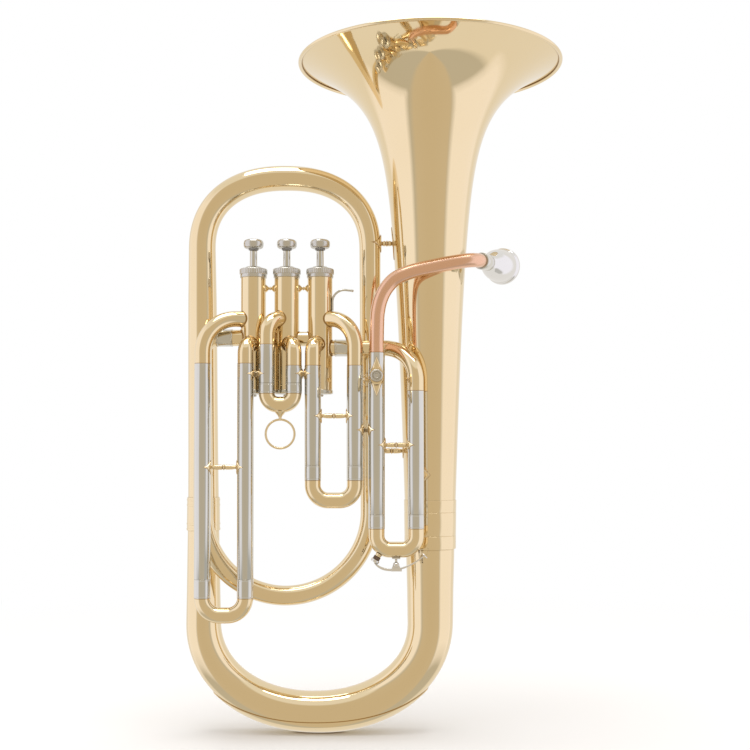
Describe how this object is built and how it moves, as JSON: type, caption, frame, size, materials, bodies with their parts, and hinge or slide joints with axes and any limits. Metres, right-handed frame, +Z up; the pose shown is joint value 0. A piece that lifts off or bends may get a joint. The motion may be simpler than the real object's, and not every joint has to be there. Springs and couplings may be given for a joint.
{
  "type": "euphonium",
  "caption": "Baritone-style euphonium: upright bell, wrapped conical bows, piston valves, nickel tuning slides, rose-brass leadpipe and mouthpiece.",
  "frame": {"origin": "centre of the width and depth at the lowest point of the bow guard, on the bell-axis plane", "axes": "+Z up towards the bell rim, +X towards the bell side, -Y towards the valve slides and the front"},
  "size_m": [0.3425, 0.241, 0.611],
  "materials": {
    "lacquered_brass": "clear lacquer, polished",
    "nickel_silver": "polished nickel silver",
    "rose_brass": "clear lacquer, polished",
    "silver_plate": "bright silver plate",
    "steel_spring": "drawn wire",
    "felt": "pressed felt",
    "cork": "natural cork"
  },
  "bodies": {
    "horn": {"bell": "lacquered_brass", "bell_rim_wire": "steel_spring", "bell_ferrule": "lacquered_brass", "bottom_bow": "lacquered_brass", "bow_guard": "lacquered_brass", "branch_ferrule": "lacquered_brass", "main_branch": "lacquered_brass", "lower_crook": "lacquered_brass", "exit_elbow": "lacquered_brass", "port_ferrules": "nickel_silver", "entry_tube": "lacquered_brass", "leadpipe": "rose_brass", "mouthpiece_receiver": "nickel_silver", "valve_casing_1": "lacquered_brass", "valve_casing_2": "lacquered_brass", "valve_casing_3": "lacquered_brass", "top_caps": "nickel_silver", "bottom_caps": "nickel_silver", "valve_knuckles": "lacquered_brass", "valve_braces": "lacquered_brass", "slide_elbows": "lacquered_brass", "first_slide_sleeves": "nickel_silver", "second_slide_sleeves": "nickel_silver", "third_slide_sleeves": "nickel_silver", "tuning_slide_sleeves": "nickel_silver", "slide_braces": "lacquered_brass", "bell_braces": "lacquered_brass", "finger_hook": "nickel_silver", "lyre_holder": "lacquered_brass", "valve_spring_1": "steel_spring", "valve_spring_2": "steel_spring", "valve_spring_3": "steel_spring"},
    "first_slide": {"first_slide_legs": "nickel_silver", "first_slide_bow": "lacquered_brass"},
    "second_slide": {"second_slide_legs": "nickel_silver", "second_slide_bow": "lacquered_brass", "pull_ring": "lacquered_brass"},
    "third_slide": {"third_slide_legs": "nickel_silver", "third_slide_bow": "lacquered_brass"},
    "tuning_slide": {"tuning_slide_legs": "nickel_silver", "tuning_slide_bow": "lacquered_brass", "water_key_saddle": "silver_plate", "water_key_pin": "silver_plate", "water_key_spring": "steel_spring"},
    "water_key": {"water_key_lever": "silver_plate", "water_key_cork": "cork"},
    "mouthpiece": {"mouthpiece": "silver_plate"},
    "lyre_screw": {"lyre_screw": "nickel_silver"},
    "valve_1": {"piston_1": "nickel_silver", "valve_stem_1": "nickel_silver", "finger_button_1": "nickel_silver", "button_felt_1": "felt"},
    "valve_2": {"piston_2": "nickel_silver", "valve_stem_2": "nickel_silver", "finger_button_2": "nickel_silver", "button_felt_2": "felt"},
    "valve_3": {"piston_3": "nickel_silver", "valve_stem_3": "nickel_silver", "finger_button_3": "nickel_silver", "button_felt_3": "felt"}
  },
  "joints": [
    {"name": "valve_1_press", "type": "slide", "parent": "horn", "child": "valve_1", "axis": [0, 0, -1], "range_m": [0, 0.016], "stiffness_N_per_m": 250, "springref_m": -0.012, "deforming": ["valve_spring_1"]},
    {"name": "valve_2_press", "type": "slide", "parent": "horn", "child": "valve_2", "axis": [0, 0, -1], "range_m": [0, 0.016], "stiffness_N_per_m": 250, "springref_m": -0.012, "deforming": ["valve_spring_2"]},
    {"name": "valve_3_press", "type": "slide", "parent": "horn", "child": "valve_3", "axis": [0, 0, -1], "range_m": [0, 0.016], "stiffness_N_per_m": 250, "springref_m": -0.012, "deforming": ["valve_spring_3"]},
    {"name": "first_slide_pull", "type": "slide", "parent": "horn", "child": "first_slide", "axis": [0, 0, -1], "range_m": [0, 0.1], "stiffness_N_per_m": 250},
    {"name": "second_slide_pull", "type": "slide", "parent": "horn", "child": "second_slide", "axis": [0, 0, -1], "range_m": [0, 0.009], "stiffness_N_per_m": 250},
    {"name": "third_slide_pull", "type": "slide", "parent": "horn", "child": "third_slide", "axis": [0, 0, -1], "range_m": [0, 0.06], "stiffness_N_per_m": 250},
    {"name": "tuning_slide_pull", "type": "slide", "parent": "horn", "child": "tuning_slide", "axis": [0, 0, -1], "range_m": [0, 0.07], "stiffness_N_per_m": 250},
    {"name": "water_key_open", "type": "hinge", "parent": "tuning_slide", "child": "water_key", "pos_m": [0.0185, -0.044, 0.1562], "axis": [0, -1, 0], "range_deg": [0, 7], "stiffness_Nm_per_rad": 0.02, "springref_deg": -14.32},
    {"name": "mouthpiece_pull", "type": "slide", "parent": "horn", "child": "mouthpiece", "axis": [0.4306, 0.9012, 0.0501], "range_m": [0, 0.024]},
    {"name": "lyre_screw_turn", "type": "hinge", "parent": "horn", "child": "lyre_screw", "pos_m": [0.0014, -0.063, 0.3206], "axis": [0, -1, 0], "continuous": true}
  ]
}
